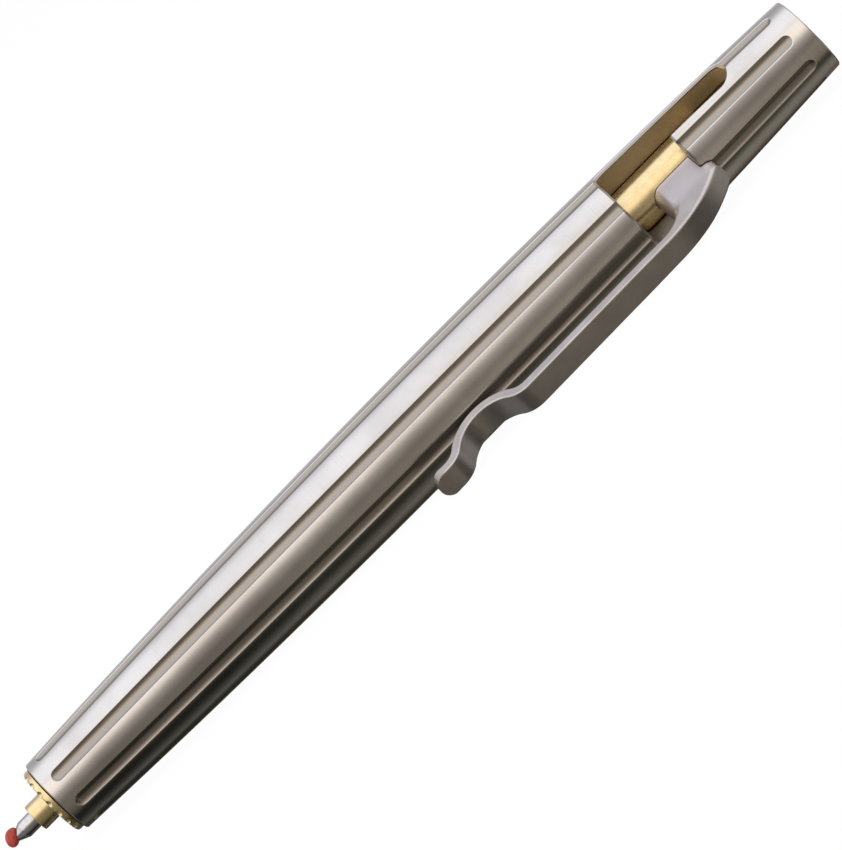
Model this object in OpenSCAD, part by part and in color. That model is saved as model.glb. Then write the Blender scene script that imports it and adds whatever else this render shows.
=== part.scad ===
// Bolt action pen: a fluted metal barrel, a brass plunger worked by a clip, and a spring-loaded refill.
// Every sub-part is drawn in pen coordinates: z runs along the pen axis from the barrel's nose end to its
// rear end, and x points from the axis to the clip. laid_down() then puts the pen on its resting surface.

/* [Barrel] */
// Length of the barrel from its nose end to its rear end
barrel_length = 134; // [132:0.5:150]
// Diameter at the middle of the barrel, where it is widest
barrel_mid_dia = 14; // [13:0.1:17]
// Diameter at both ends of the barrel
barrel_end_dia = 11; // [10.6:0.1:12.6]
// Broken edge at both ends of the barrel
end_chamfer = 0.25; // [0.1:0.05:0.6]
// Diameter of the bore that the refill and the plunger run in
bore_dia = 6.9; // [6.7:0.05:7.3]

/* [Flutes] */
// Number of flutes round the barrel
flute_count = 8; // [4:1:10]
// Radius of the round cutter that makes a flute
flute_cutter_radius = 1.3; // [1:0.05:2]
// Depth of a flute under the barrel's surface
flute_depth = 0.4; // [0.2:0.05:0.6]
// Distance from the barrel's nose end to the tip of a flute
flute_nose_margin = 1.55; // [1:0.05:6]
// Distance from the barrel's rear end to the tip of a flute
flute_rear_margin = 2.4; // [1:0.05:6]
// Angle from the clip to the nearest flute
flute_offset_angle = -7; // [-20:0.5:20]

/* [Bolt window] */
// Distance between the front ledge and the rear ledge of the window
window_length = 10.4; // [9:0.1:12.4]
// Width of the long slot that the bolt slides back in
slot_width = 4.2; // [4:0.05:5]
// Reach of the long slot behind the rear ledge
slot_reach = 10.9; // [8:0.1:11.5]
// Radius in the corners of the window
window_corner_radius = 1.1; // [0.5:0.05:1.8]
// Angle from the clip to the long slot
slot_angle = -90; // [-100:1:-80]
// Clearance between the bolt and the rear ledge
bolt_clearance = 0.05; // [0.03:0.01:0.12]

/* [Plunger] */
// Diameter of the plunger between its guide lands
plunger_dia = 6.1; // [5.7:0.05:6.4]
// Distance from the plunger's front face to the rear face of the clip's tang
plunger_reach = 21.9; // [20:0.1:23]
// Length of the plunger behind the tang
plunger_tail = 4.8; // [3.5:0.1:5.2]
// Length of the front guide land
front_land_length = 5; // [3:0.1:8]
// Length of the rear guide land
rear_land_length = 3.6; // [2:0.1:4.4]
// Radial running clearance of the guide lands in the bore
land_clearance = 0.05; // [0.02:0.01:0.09]
// Broken edge at the ends of the plunger
plunger_chamfer = 0.3; // [0.1:0.05:0.5]

/* [Tang screw] */
// Diameter of the set screw that holds the tang in the plunger
screw_dia = 3; // [2.5:0.1:3.4]
// Length of the set screw
screw_length = 6; // [4:0.5:9]
// Size across the flats of the screw's hexagon socket
screw_socket_flats = 1.5; // [1.2:0.1:1.8]
// Depth of the screw's hexagon socket
screw_socket_depth = 1.6; // [1:0.1:2]

/* [Clip] */
// Length of the clip from its tip to its rear end
clip_length = 53; // [50:0.2:62]
// Width of the clip and of its tang
clip_width = 3.7; // [3.2:0.05:3.9]
// Thickness of the clip's strip
clip_thickness = 1.4; // [1.1:0.05:1.7]
// Gap between the strip at the clip's head and the widest part of the barrel
clip_gap = 4; // [3.2:0.1:5]
// Rise of the clip's strip from its head to the bend, which follows the barrel's bulge
strip_rise = 0.25; // [0:0.05:0.5]
// Gap between the clip's bump and the widest part of the barrel
bump_gap = 0.75; // [0.4:0.05:1.2]
// Radius of the bump on the side that faces the barrel
bump_radius = 6.6; // [5.8:0.1:8]
// Radius of the bends on both sides of the bump, on the side that faces the barrel
bend_radius = 2.3; // [1.8:0.1:3]
// Distance from the rear end of the clip to the middle of the bump
bump_distance = 43.1; // [38:0.1:44]
// Lift of the clip's tail above the line of the strip
tail_lift = 0.3; // [0:0.05:0.5]
// Length of the clip's head from its rear end to the start of its domed back
head_length = 11.5; // [10.5:0.1:12.8]
// Radius of the domed back of the head
head_radius = 16.7; // [16:0.1:20]
// Radius of the corners at the rear end of the head, seen from above
head_corner_radius = 1.1; // [0.6:0.1:1.7]
// Length of the tang along the pen
tang_length = 7; // [6:0.1:7.6]
// Depth of the tang past the pen axis
tang_depth = 1.2; // [0.6:0.1:1.6]
// Radius of the round root between the strip and the tang
root_radius = 3; // [2:0.1:3.4]
// Reach of the head over the barrel behind the rear ledge
head_overhang = 1.75; // [1.5:0.05:3]
// Clearance between the head and the barrel under it
head_clearance = 0.08; // [0.05:0.01:0.2]
// Clearance of the tang in the plunger's pocket
tang_clearance = 0.03; // [0.01:0.01:0.06]

/* [Nose cap] */
// Diameter of the flange
flange_dia = 9.9; // [9.4:0.1:10.2]
// Thickness of the flange
flange_thickness = 0.95; // [0.7:0.05:1.6]
// Gap that the sealing ring leaves between the flange and the barrel
flange_gap = 0.15; // [0.05:0.05:0.3]
// Broken front edge of the flange
flange_chamfer = 0.4; // [0.2:0.05:0.6]
// Number of scallops round the flange's front edge
scallop_count = 18; // [12:1:24]
// Radius of a scallop
scallop_radius = 0.55; // [0.4:0.05:0.7]
// Angle from the clip to the nearest scallop
scallop_offset_angle = 4.5; // [-10:0.5:10]
// Diameter of the nozzle
nozzle_dia = 3.9; // [3.4:0.1:4.6]
// Length of the nozzle in front of the flange
nozzle_length = 2.7; // [1.8:0.1:3.4]
// Clearance round the refill's tip in the nozzle
nozzle_clearance = 0.06; // [0.04:0.01:0.1]
// Broken edge of the nozzle
nozzle_chamfer = 0.2; // [0.05:0.05:0.4]
// Diameter of the spigot that screws into the barrel
spigot_dia = 7.5; // [7.3:0.05:7.9]
// Length of the spigot inside the barrel
spigot_length = 5.6; // [4.5:0.1:8]
// Clearance of the spigot in the barrel
spigot_clearance = 0.04; // [0.02:0.01:0.08]
// Clearance round the refill's body in the spigot
cap_bore_clearance = 0.12; // [0.08:0.01:0.2]
// Depth of the spring's seat behind the barrel's nose end
seat_depth = 0.3; // [0.1:0.1:1]
// Section diameter of the sealing ring
ring_section = 0.7; // [0.5:0.05:0.8]

/* [Refill] */
// Length of the refill from the ball to its rear end
refill_length = 98; // [96:0.5:99]
// Diameter of the refill's body
refill_dia = 5.9; // [5.6:0.05:6]
// Wall of the refill's tube
refill_wall = 0.35; // [0.2:0.05:0.6]
// Diameter of the refill's tip
tip_dia = 2.4; // [2.2:0.05:2.5]
// Length of the cone that carries the ball
tip_cone_length = 1.9; // [1.4:0.1:2.4]
// Distance that the ball stands out of the nozzle
tip_out = 3.9; // [3.2:0.1:4.6]
// Diameter of the writing ball
ball_dia = 1; // [0.7:0.05:1.1]
// Distance from the ball to the refill's shoulder
shoulder_distance = 16; // [14.5:0.5:17]
// Diameter of the neck between the tip and the shoulder
neck_dia = 3; // [2.6:0.1:3.1]
// Length of the neck in front of the shoulder
neck_length = 3; // [2:0.5:4]
// Length of the plug in the rear of the refill
plug_length = 7; // [5:0.5:10]
// Diameter of the waxy seal over a new refill's ball
seal_dia = 1.9; // [1.6:0.1:2.1]
// Distance of the seal's centre from the pen axis
seal_shift = 0.35; // [0.1:0.05:0.45]

/* [Refill spring] */
// Diameter of the spring's wire
wire_dia = 0.4; // [0.3:0.02:0.44]
// Mean diameter of the spring's coils
coil_dia = 3.9; // [3.6:0.1:4.6]
// Number of turns
spring_turns = 8; // [6:0.5:8]

/* [Hidden] */

// Smoothness of turned surfaces and of small features, and the number of steps in the barrel's outline
turned = 96;
fine = 48;
barrel_steps = 16;

// Size that cuts run past the surface that they open, and that pieces of one outline overlap by
past = 1;
overlap = 0.1;

// The barrel's outline is one arc
mid_radius = barrel_mid_dia / 2;
bulge = (barrel_mid_dia - barrel_end_dia) / 2;
arc_radius = (pow(barrel_length / 2, 2) + pow(bulge, 2)) / (2 * bulge);
arc_centre_x = mid_radius - arc_radius;
bore_radius = bore_dia / 2;

// The barrel's radius at a place along it, and the places where its outline has a point
function step_z(i) = end_chamfer + (barrel_length - 2 * end_chamfer) * i / barrel_steps;
function barrel_radius(z) = arc_centre_x + sqrt(pow(arc_radius, 2) - pow(z - barrel_length / 2, 2));

// Places along the pen, worked back from the nose through the refill to the bolt
flange_front = -flange_gap - flange_thickness;
nozzle_front = flange_front - nozzle_length;
ball_front = nozzle_front - tip_out;
shoulder_z = ball_front + shoulder_distance;
refill_rear = ball_front + refill_length;
tang_rear = refill_rear + plunger_reach;
tang_front = tang_rear - tang_length;
plunger_rear = tang_rear + plunger_tail;
rear_ledge = tang_rear + bolt_clearance;
front_ledge = rear_ledge - window_length;
slot_end = rear_ledge + slot_reach;
bore_end = plunger_rear + slot_reach;
clip_rear = tang_rear + head_overhang;
clip_tip = clip_rear - clip_length;

// The clip's heights above the pen axis
strip_inner = mid_radius + clip_gap;
strip_outer = strip_inner + clip_thickness;
tail_outer = strip_outer + strip_rise + tail_lift;
half_width = clip_width / 2;
head_underside = barrel_radius(rear_ledge) + head_clearance;
head_bottom = sqrt(pow(head_underside, 2) - pow(half_width, 2)) - head_clearance / 2;
tang_corner_radius = window_corner_radius - bolt_clearance;

// The clip's bump and bends: arcs along the middle of its thickness, tangent to each other
bump_z = clip_rear - bump_distance;
bump_mid_radius = bump_radius - clip_thickness / 2;
bend_mid_radius = bend_radius + clip_thickness / 2;
bump_centre_x = mid_radius + bump_gap + bump_radius;
bend_mid = strip_inner + strip_rise + clip_thickness / 2;
tail_mid = bend_mid + tail_lift;
strip_bend_x = bend_mid - bend_mid_radius;
tail_bend_x = tail_mid - bend_mid_radius;
bend_span = bump_mid_radius + bend_mid_radius;
strip_bend_z = bump_z + sqrt(pow(bend_span, 2) - pow(bump_centre_x - strip_bend_x, 2));
tail_bend_z = bump_z - sqrt(pow(bend_span, 2) - pow(bump_centre_x - tail_bend_x, 2));

// Nose and refill
spigot_radius = spigot_dia / 2;
mouth_radius = spigot_radius + spigot_clearance;
mouth_run = 0.8;
refill_radius = refill_dia / 2;
cap_bore_radius = refill_radius + cap_bore_clearance;
ring_seat_depth = ring_section - flange_gap;
ring_relief = 0.12;
ring_inner = spigot_radius - ring_relief;
ring_mid = ring_inner + ring_section / 2;
tip_radius = tip_dia / 2;
ball_radius = ball_dia / 2;
socket_gap = 0.01;
shoulder_wall = 1.2;
plug_rim = 1;
tube_rear = refill_rear - plug_rim;
seal_gap = 0.02;
seal_radius = seal_dia / 2;
seal_lag = 0.1;
seal_z = ball_front + seal_lag;
seal_angle = -125;
seal_front = seal_z - seal_radius;

// The pen lies on its belly and on the edge of the clip's tail
rest_reach = sqrt(pow(tail_outer, 2) + pow(half_width, 2));
clip_droop = asin(mid_radius / rest_reach) - atan2(half_width, tail_outer);
clip_side_reach = tail_outer * cos(clip_droop) + half_width * sin(clip_droop);
shift_x = -(seal_front + barrel_length) / 2;
shift_y = (clip_side_reach - mid_radius) / 2;

// Moves from pen coordinates to the lying pen, nose towards -X and the slot facing up
module laid_down() {
    translate([shift_x, shift_y, mid_radius])
        rotate([clip_droop - 90, 0, 0])
            rotate([0, 90, 0])
                children();
}

// A solid of revolution about the pen axis from radius and z pairs
module turned_profile(points) {
    rotate_extrude($fn = turned) polygon(points);
}

// A turned cylinder between two places on the pen axis
module shaft(from_z, to_z, radius) {
    translate([0, 0, from_z]) cylinder(h = to_z - from_z, r = radius, $fn = turned);
}

// Places of the rings along a flute, each with the cutter's radius there: the ball runs out at both ends
flute_lift = flute_cutter_radius - flute_depth;
flute_run_out = sqrt(pow(flute_cutter_radius, 2) - pow(flute_lift, 2));
flute_from = flute_nose_margin + flute_run_out;
flute_to = barrel_length - flute_rear_margin - flute_run_out;
run_out_steps = [0.4, 0.7, 0.9, 1, 1.15];

function ball_section(shift) = sqrt(pow(flute_cutter_radius, 2) - pow(shift, 2));

flute_rings = concat(
    [for (i = [len(run_out_steps) - 1 : -1 : 0])
        [flute_from - run_out_steps[i] * flute_run_out, ball_section(run_out_steps[i] * flute_run_out)]],
    [for (i = [0 : barrel_steps - 1]) if (step_z(i) > flute_from && step_z(i + 1) < flute_to)
        [step_z(i + 0.5), flute_cutter_radius]],
    [for (k = run_out_steps) [flute_to + k * flute_run_out, ball_section(k * flute_run_out)]]
);

// One flute's cutter: the lower part of a round section, swept along the barrel's outline
module flute_cutter() {
    opening = 62;
    arc_steps = 6;
    sides = arc_steps + 1;
    last = (len(flute_rings) - 1) * sides;
    points = [for (ring = flute_rings, k = [0 : arc_steps])
        let (a = opening * (2 * k / arc_steps - 1), z = ring[0], radius = ring[1])
        [barrel_radius(z) + flute_lift - radius * cos(a), radius * sin(a), z]];
    walls = [for (i = [0 : len(flute_rings) - 2], k = [0 : arc_steps], half = [0, 1])
        let (a = i * sides + k, b = i * sides + (k + 1) % sides)
        half == 0 ? [a, b, a + sides] : [b, b + sides, a + sides]];
    start_cap = [for (k = [1 : arc_steps - 1]) [0, k + 1, k]];
    end_cap = [for (k = [1 : arc_steps - 1]) [last, last + k, last + k + 1]];
    polyhedron(points = points, faces = concat(start_cap, walls, end_cap));
}

// The barrel's body before anything is cut: its outline follows the arc in short steps, turned
module barrel_blank() {
    nose_edge = barrel_radius(end_chamfer);
    arc = [for (i = [0 : barrel_steps]) [barrel_radius(step_z(i)), step_z(i)]];
    turned_profile(concat(
        [[0, 0], [nose_edge - end_chamfer, 0]],
        arc,
        [[nose_edge - end_chamfer, barrel_length], [0, barrel_length]]
    ));
}

// A slot's outline: half widths left and right of the axis, with its own radius in each pair of corners
module slot_outline(from_z, to_z, width, front_radius, rear_radius) {
    half = width / 2;
    translate([-half, from_z + front_radius]) square([width, to_z - rear_radius - from_z - front_radius]);
    translate([front_radius - half, from_z]) square([width - 2 * front_radius, front_radius + overlap]);
    for (side = [-1, 1]) {
        translate([side * (half - front_radius), from_z + front_radius]) circle(r = front_radius, $fn = fine);
        translate([side * (half - rear_radius), to_z - rear_radius]) circle(r = rear_radius, $fn = fine);
    }
    if (rear_radius < half)
        translate([rear_radius - half, to_z - rear_radius - overlap])
            square([width - 2 * rear_radius, rear_radius + overlap]);
}

// The same outline cut straight out through the barrel's wall on the side that the angle gives
module wall_slot(angle, from_z, to_z, front_radius, rear_radius) {
    rotate([0, 0, angle])
        rotate([90, 0, 90])
            linear_extrude(height = mid_radius + past)
                slot_outline(from_z, to_z, slot_width, front_radius, rear_radius);
}

// The bolt's way through the wall: the clip's notch, the turn across and the long slot
module bolt_window() {
    wall_slot(0, front_ledge, rear_ledge, window_corner_radius, window_corner_radius);
    wall_slot(slot_angle, front_ledge, slot_end, window_corner_radius, slot_width / 2);
    rotate([0, 0, slot_angle])
        rotate_extrude(angle = -slot_angle, $fn = turned)
            translate([0, front_ledge])
                square([mid_radius + past, window_length]);
}

module barrel() {
    color([0.56, 0.54, 0.52])
        difference() {
            barrel_blank();
            for (i = [0 : flute_count - 1])
                rotate([0, 0, flute_offset_angle + i * 360 / flute_count]) flute_cutter();
            shaft(-past, bore_end, bore_radius);
            shaft(-past, spigot_length + mouth_run, mouth_radius);
            shaft(-past, ring_seat_depth, ring_mid + ring_section / 2 + ring_relief / 2);
            bolt_window();
        }
}

// Brass nose: scalloped flange, nozzle, and the spigot that screws into the barrel
module nose_cap() {
    nozzle_radius = nozzle_dia / 2;
    flange_radius = flange_dia / 2;
    scallop_shift = 0.05;
    color([0.85, 0.72, 0.42])
        difference() {
            turned_profile([
                [tip_radius + nozzle_clearance, nozzle_front],
                [nozzle_radius - nozzle_chamfer, nozzle_front],
                [nozzle_radius, nozzle_front + nozzle_chamfer],
                [nozzle_radius, flange_front],
                [flange_radius - flange_chamfer, flange_front],
                [flange_radius, flange_front + flange_chamfer],
                [flange_radius, -flange_gap],
                [ring_inner, -flange_gap],
                [ring_inner, ring_seat_depth],
                [spigot_radius, ring_seat_depth + ring_relief],
                [spigot_radius, spigot_length],
                [cap_bore_radius, spigot_length],
                [cap_bore_radius, seat_depth],
                [tip_radius + nozzle_clearance, seat_depth]
            ]);
            for (i = [0 : scallop_count - 1])
                rotate([0, 0, scallop_offset_angle + i * 360 / scallop_count])
                    translate([flange_radius + scallop_shift, 0, flange_front - scallop_shift])
                        sphere(r = scallop_radius, $fn = fine);
        }
}

// Rubber ring squeezed between the flange and the barrel
module nose_seal_ring() {
    color([0.05, 0.05, 0.05])
        translate([0, 0, ring_seat_depth - ring_section / 2])
            rotate_extrude($fn = turned)
                translate([ring_mid, 0])
                    circle(r = ring_section / 2, $fn = fine);
}

// Places on the spring's helix, and a ring of points round its wire there
wire_sides = 6;
rings_a_turn = 8;
spring_from = seat_depth + wire_dia / 2;
spring_to = shoulder_z - wire_dia / 2;
spring_pitch = (spring_to - spring_from) / spring_turns;
ring_count = spring_turns * rings_a_turn + 1;

function wire_ring(i) =
    let (turn = 360 * i / rings_a_turn, z = spring_from + spring_pitch * i / rings_a_turn)
    [for (k = [0 : wire_sides - 1])
        let (a = 360 * k / wire_sides, r = coil_dia / 2 + wire_dia / 2 * cos(a))
        [r * cos(turn), r * sin(turn), z + wire_dia / 2 * sin(a)]];

// Compression spring between the nose cap's seat and the refill's shoulder
module refill_spring() {
    last = (ring_count - 1) * wire_sides;
    points = [for (i = [0 : ring_count - 1]) each wire_ring(i)];
    sides = [for (i = [0 : ring_count - 2], k = [0 : wire_sides - 1], half = [0, 1])
        let (a = i * wire_sides + k, b = i * wire_sides + (k + 1) % wire_sides)
        half == 0 ? [a, b, a + wire_sides] : [b, b + wire_sides, a + wire_sides]];
    start_cap = [for (k = [1 : wire_sides - 2]) [0, k + 1, k]];
    end_cap = [for (k = [1 : wire_sides - 2]) [last, last + k, last + k + 1]];
    echo(least_gap_between_turns = spring_pitch - wire_dia);
    color([0.75, 0.75, 0.77])
        polyhedron(points = points, faces = concat(start_cap, sides, end_cap));
}

// Refill tube with a shoulder at its front end
module refill_tube() {
    inner = refill_radius - refill_wall;
    color([0.72, 0.73, 0.75])
        turned_profile([
            [neck_dia / 2 + socket_gap, shoulder_z],
            [refill_radius - plunger_chamfer, shoulder_z],
            [refill_radius, shoulder_z + plunger_chamfer],
            [refill_radius, tube_rear],
            [inner, tube_rear],
            [inner, shoulder_z + shoulder_wall],
            [neck_dia / 2 + socket_gap, shoulder_z + shoulder_wall]
        ]);
}

// The tip's outline in front of the neck, grown by a gap where something else fits over it
function tip_outline(gap) = [
    [0, ball_front + ball_radius],
    [ball_radius + gap, ball_front + ball_radius - gap],
    [tip_radius + gap, ball_front + tip_cone_length]
];

// Steel tip: cone with the ball's socket, straight tip and neck
module refill_tip() {
    color([0.8, 0.8, 0.82])
        difference() {
            turned_profile(concat(tip_outline(0), [
                [tip_radius, shoulder_z - neck_length],
                [neck_dia / 2, shoulder_z - neck_length],
                [neck_dia / 2, shoulder_z + neck_length],
                [0, shoulder_z + neck_length]
            ]));
            translate([0, 0, ball_front + ball_radius]) sphere(r = ball_radius + socket_gap, $fn = fine);
        }
}

module refill_ball() {
    color([0.3, 0.3, 0.32])
        translate([0, 0, ball_front + ball_radius])
            sphere(r = ball_radius, $fn = fine);
}

// Plastic plug that closes the rear of the refill and takes the plunger's push
module refill_plug() {
    color([0.2, 0.2, 0.22])
        turned_profile([
            [0, refill_rear - plug_length],
            [refill_radius - refill_wall - socket_gap, refill_rear - plug_length],
            [refill_radius - refill_wall - socket_gap, tube_rear],
            [refill_radius, tube_rear],
            [refill_radius, refill_rear],
            [0, refill_rear]
        ]);
}

// Waxy protective drop on the ball of a new refill, a little to one side
module tip_seal() {
    color([0.7, 0.2, 0.17])
        difference() {
            rotate([0, 0, seal_angle])
                translate([seal_shift, 0, seal_z])
                    sphere(r = seal_radius, $fn = fine);
            turned_profile(concat(tip_outline(seal_gap), [[0, ball_front + tip_cone_length]]));
            translate([0, 0, ball_front + ball_radius]) sphere(r = ball_radius + seal_gap, $fn = fine);
        }
}

// The tang's plan: full round at the front, flat at the rear with corners that clear the window's corners,
// and grown by a gap for its pocket
module tang_plan(gap) {
    round_middle = tang_front + half_width;
    corner_middle = tang_rear - tang_corner_radius;
    corner_side = half_width - tang_corner_radius;
    translate([0, round_middle]) circle(r = half_width + gap, $fn = fine);
    translate([-half_width - gap, round_middle]) square([clip_width + 2 * gap, corner_middle - round_middle]);
    translate([-corner_side, round_middle]) square([2 * corner_side, tang_rear + gap - round_middle]);
    for (side = [-1, 1])
        translate([side * corner_side, corner_middle]) circle(r = tang_corner_radius + gap, $fn = fine);
}

// The tang as a straight bar across the pen, between two heights above the axis
module tang_bar(from_x, to_x, gap) {
    translate([from_x, 0, 0])
        rotate([90, 0, 90])
            linear_extrude(height = to_x - from_x)
                tang_plan(gap);
}

// Brass plunger: two guide lands, the tang's pocket and the set screw's hole
module plunger() {
    land_radius = bore_radius - land_clearance;
    front_land_end = refill_rear + front_land_length;
    rear_land_start = plunger_rear - rear_land_length;
    body_radius = plunger_dia / 2;
    color([0.83, 0.69, 0.38])
        difference() {
            turned_profile([
                [0, refill_rear],
                [land_radius - plunger_chamfer, refill_rear],
                [land_radius, refill_rear + plunger_chamfer],
                [land_radius, front_land_end],
                [body_radius, front_land_end],
                [body_radius, rear_land_start],
                [land_radius, rear_land_start],
                [land_radius, plunger_rear - plunger_chamfer],
                [land_radius - plunger_chamfer, plunger_rear],
                [0, plunger_rear]
            ]);
            tang_bar(-tang_depth - tang_clearance, bore_radius, tang_clearance);
            shaft(refill_rear - past, tang_front + half_width, screw_dia / 2);
        }
}

// Set screw, put in from the nose end, that presses on the front of the tang
module tang_screw() {
    screw_gap = 0.02;
    screw_rear = tang_front - screw_gap;
    color([0.25, 0.25, 0.27])
        difference() {
            shaft(screw_rear - screw_length, screw_rear, screw_dia / 2 - screw_gap);
            translate([0, 0, screw_rear - screw_length - past])
                cylinder(h = screw_socket_depth + past, r = screw_socket_flats / sqrt(3), $fn = 6);
        }
}

// Points along an arc from just after one angle up to another
function arc_points(centre, radius, from_angle, to_angle, steps = 10) =
    [for (i = [1 : steps])
        let (a = from_angle + (to_angle - from_angle) * i / steps)
        centre + radius * [cos(a), sin(a)]];

// Side view of the clip, z to the right and height above the pen axis upwards
module clip_side() {
    bump = [bump_z, bump_centre_x];
    strip_bend = [strip_bend_z, strip_bend_x];
    tail_bend = [tail_bend_z, tail_bend_x];
    strip_slope = atan2(bump[1] - strip_bend[1], bump[0] - strip_bend[0]);
    tail_slope = atan2(bump[1] - tail_bend[1], bump[0] - tail_bend[0]);
    outer_bend = bend_radius + clip_thickness;
    outer_bump = bump_radius - clip_thickness;
    head_from = tang_front + half_width;
    head_centre = [clip_rear - head_length, strip_outer - head_radius];
    level_run = 0.5;
    strip_start = min(tang_front - root_radius, head_centre[0]) - level_run;
    dome_end = acos(head_length / head_radius);
    polygon(concat(
        [[clip_tip, tail_outer - clip_thickness], [tail_bend_z, tail_outer - clip_thickness]],
        arc_points(tail_bend, bend_radius, 90, tail_slope),
        arc_points(bump, bump_radius, tail_slope + 180, strip_slope + 180),
        arc_points(strip_bend, bend_radius, strip_slope, 90),
        [[strip_start, strip_inner], [head_from, strip_inner], [head_from, head_bottom], [clip_rear, head_bottom]],
        [[clip_rear, head_centre[1] + head_radius * sin(dome_end)]],
        arc_points(head_centre, head_radius, dome_end, 90),
        [[strip_start, strip_outer], [strip_bend_z, strip_outer + strip_rise]],
        arc_points(strip_bend, outer_bend, 90, strip_slope),
        arc_points(bump, outer_bump, strip_slope + 180, tail_slope + 180),
        arc_points(tail_bend, outer_bend, tail_slope, 90),
        [[clip_tip, tail_outer]]
    ));
}

// The clip's outline seen from above: full round at its tip, with round corners at its rear end
module clip_plan() {
    round_middle = clip_tip + half_width;
    corner_middle = clip_rear - head_corner_radius;
    corner_side = half_width - head_corner_radius;
    translate([round_middle, 0]) circle(r = half_width, $fn = fine);
    translate([round_middle, -half_width]) square([corner_middle - round_middle, clip_width]);
    translate([round_middle, -corner_side]) square([clip_rear - round_middle, 2 * corner_side]);
    for (side = [-1, 1])
        translate([corner_middle, side * corner_side]) circle(r = head_corner_radius, $fn = fine);
}

// The round root that joins the front of the tang to the underside of the strip
module tang_root() {
    intersection() {
        translate([0, 0, tang_front + half_width])
            rotate([0, 90, 0])
                translate([0, 0, strip_inner - root_radius])
                    rotate_extrude($fn = turned)
                        difference() {
                            square([half_width + root_radius, root_radius]);
                            translate([half_width + root_radius, 0]) circle(r = root_radius, $fn = turned);
                        }
        translate([0, -half_width, tang_front - root_radius])
            cube([strip_outer, clip_width, root_radius + half_width]);
    }
}

// Clip and bolt handle in one piece: strip with bump, domed head, and the tang that enters the plunger
module clip() {
    color([0.5, 0.48, 0.47])
        difference() {
            union() {
                intersection() {
                    rotate([-90, -90, 0])
                        translate([0, 0, -half_width])
                            linear_extrude(height = clip_width)
                                clip_side();
                    rotate([180, -90, 0])
                        linear_extrude(height = tail_outer + past)
                            clip_plan();
                }
                tang_bar(-tang_depth, strip_inner - root_radius, 0);
                tang_root();
            }
            shaft(tang_rear, clip_rear + past, head_underside);
        }
}

laid_down() barrel();
laid_down() nose_cap();
laid_down() nose_seal_ring();
laid_down() refill_spring();
laid_down() refill_tube();
laid_down() refill_tip();
laid_down() refill_ball();
laid_down() refill_plug();
laid_down() tip_seal();
laid_down() plunger();
laid_down() clip();
laid_down() tang_screw();
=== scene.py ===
"""A bolt action pen in its writing position, dressed with its real surfaces."""

import bmesh
import bpy
import numpy as np
from mathutils import Matrix, Vector
from mathutils.geometry import delaunay_2d_cdt


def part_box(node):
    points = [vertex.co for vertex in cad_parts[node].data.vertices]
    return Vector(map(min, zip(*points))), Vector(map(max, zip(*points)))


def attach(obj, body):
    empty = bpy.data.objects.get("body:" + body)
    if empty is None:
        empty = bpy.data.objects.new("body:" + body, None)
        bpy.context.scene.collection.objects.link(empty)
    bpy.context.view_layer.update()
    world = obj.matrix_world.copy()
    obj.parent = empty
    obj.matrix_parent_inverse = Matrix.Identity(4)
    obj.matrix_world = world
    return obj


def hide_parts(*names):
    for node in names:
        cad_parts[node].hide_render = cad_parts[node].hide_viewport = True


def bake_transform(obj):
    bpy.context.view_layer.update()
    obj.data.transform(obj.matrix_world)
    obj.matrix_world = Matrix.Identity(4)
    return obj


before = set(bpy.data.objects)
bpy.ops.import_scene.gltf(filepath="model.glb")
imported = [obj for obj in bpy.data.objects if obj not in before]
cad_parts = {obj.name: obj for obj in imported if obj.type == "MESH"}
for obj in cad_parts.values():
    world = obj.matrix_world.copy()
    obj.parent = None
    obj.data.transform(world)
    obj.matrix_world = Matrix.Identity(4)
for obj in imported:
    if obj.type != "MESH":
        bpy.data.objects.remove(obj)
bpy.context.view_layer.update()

# The pen's own axes. The barrel's solid says where its axis lies. Pen coordinates are in millimetres: across
# towards the clip, across towards the back of the pen, and along the axis from the barrel's nose end.
MILLI = 0.001
barrel_low, barrel_high = (np.array(corner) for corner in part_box("barrel"))
axis_start = np.array([barrel_low[0], *((barrel_low + barrel_high) / 2)[1:]])
clip_droop = np.radians(24.221)
to_clip = np.array([0, -np.cos(clip_droop), -np.sin(clip_droop)])
to_back = np.array([0, np.sin(clip_droop), -np.cos(clip_droop)])
along = np.array([1.0, 0, 0])


def in_room(points):
    """Pen coordinates to the room: the axis start plus each coordinate times its own direction."""
    points = np.asarray(points, float)
    return axis_start + MILLI * points @ np.stack([to_clip, to_back, along])


# Camera and studio. A long lens looks a little down on the pen and is rolled so that the nose points to the
# lower left. The room is white to the camera, and a light tent round the pen's axis gives the metal its
# bright upper half, a cream stripe and a dark lower half.
FRAME_PIXELS = 850
PIXELS_PER_MM = 8.0
LENS_MM = 275
SENSOR_MM = 36
view_height = np.radians(35.5) - clip_droop
view_roll = np.radians(45.44)
seen_from = np.array([0, -np.cos(view_height), np.sin(view_height)])
level_up = np.array([0, np.sin(view_height), np.cos(view_height)])
image_right = np.cos(view_roll) * along - np.sin(view_roll) * level_up
image_up = np.sin(view_roll) * along + np.cos(view_roll) * level_up
anchor_along = 67.25
anchor_right, anchor_up = 13.1 / PIXELS_PER_MM, 11.5 / PIXELS_PER_MM
camera_distance = FRAME_PIXELS / PIXELS_PER_MM * LENS_MM / SENSOR_MM

scene = bpy.context.scene
camera_data = bpy.data.cameras.new("camera")
camera_data.lens, camera_data.sensor_width = LENS_MM, SENSOR_MM
camera_data.clip_start, camera_data.clip_end = 0.01, 20
camera = bpy.data.objects.new("camera", camera_data)
aim = in_room([0, 0, anchor_along]) - MILLI * (anchor_right * image_right + anchor_up * image_up)
turn = Matrix(np.stack([image_right, image_up, seen_from], axis=1).tolist()).to_4x4()
camera.matrix_world = Matrix.Translation(aim + MILLI * camera_distance * seen_from) @ turn
scene.collection.objects.link(camera)
scene.camera = camera
scene.view_settings.view_transform = "Standard"


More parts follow.
